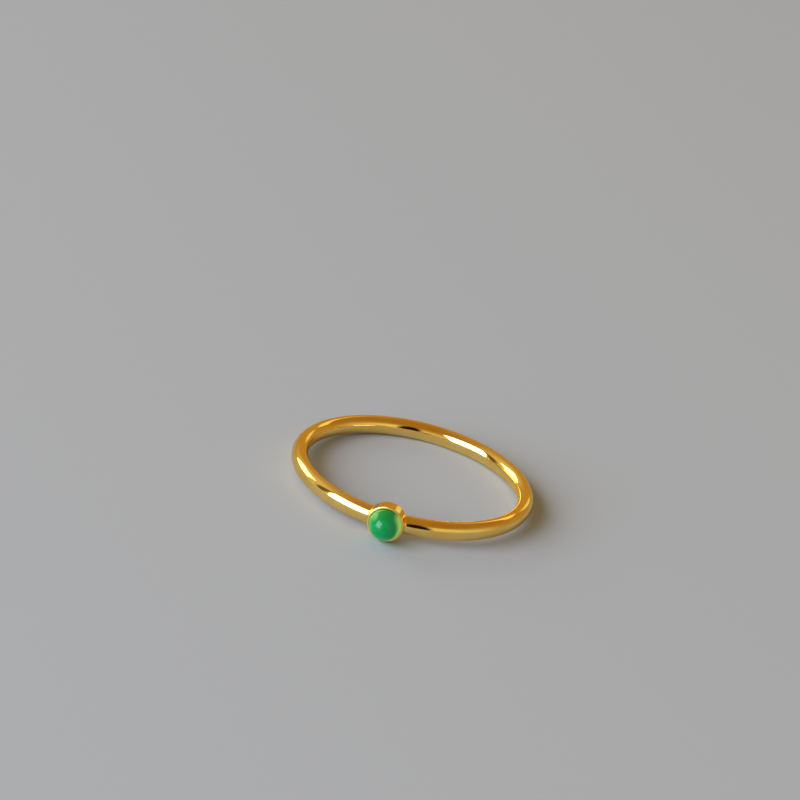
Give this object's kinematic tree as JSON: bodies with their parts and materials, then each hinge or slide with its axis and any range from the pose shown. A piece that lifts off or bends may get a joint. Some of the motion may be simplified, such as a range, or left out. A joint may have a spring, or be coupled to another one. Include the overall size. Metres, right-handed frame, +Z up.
{
  "type": "stackable ring",
  "caption": "Thin gold stacking ring of round-edged oval wire with a small round green cabochon in a plain cup, lying on its side.",
  "frame": {"origin": "middle of the ring's box, on the surface it lies on", "axes": "+Z up from that surface and close to the axis of the finger hole, -Y out through the stone, +X along the band at the stone"},
  "size_m": [0.02, 0.0218, 0.003],
  "materials": {
    "polished_gold": "mirror-polished warm gold plate over silver",
    "green_stone": "polished translucent green chalcedony, lighter at its edge"
  },
  "bodies": {
    "root": {"band_and_setting": "polished_gold", "stone": "green_stone"}
  },
  "joints": []
}
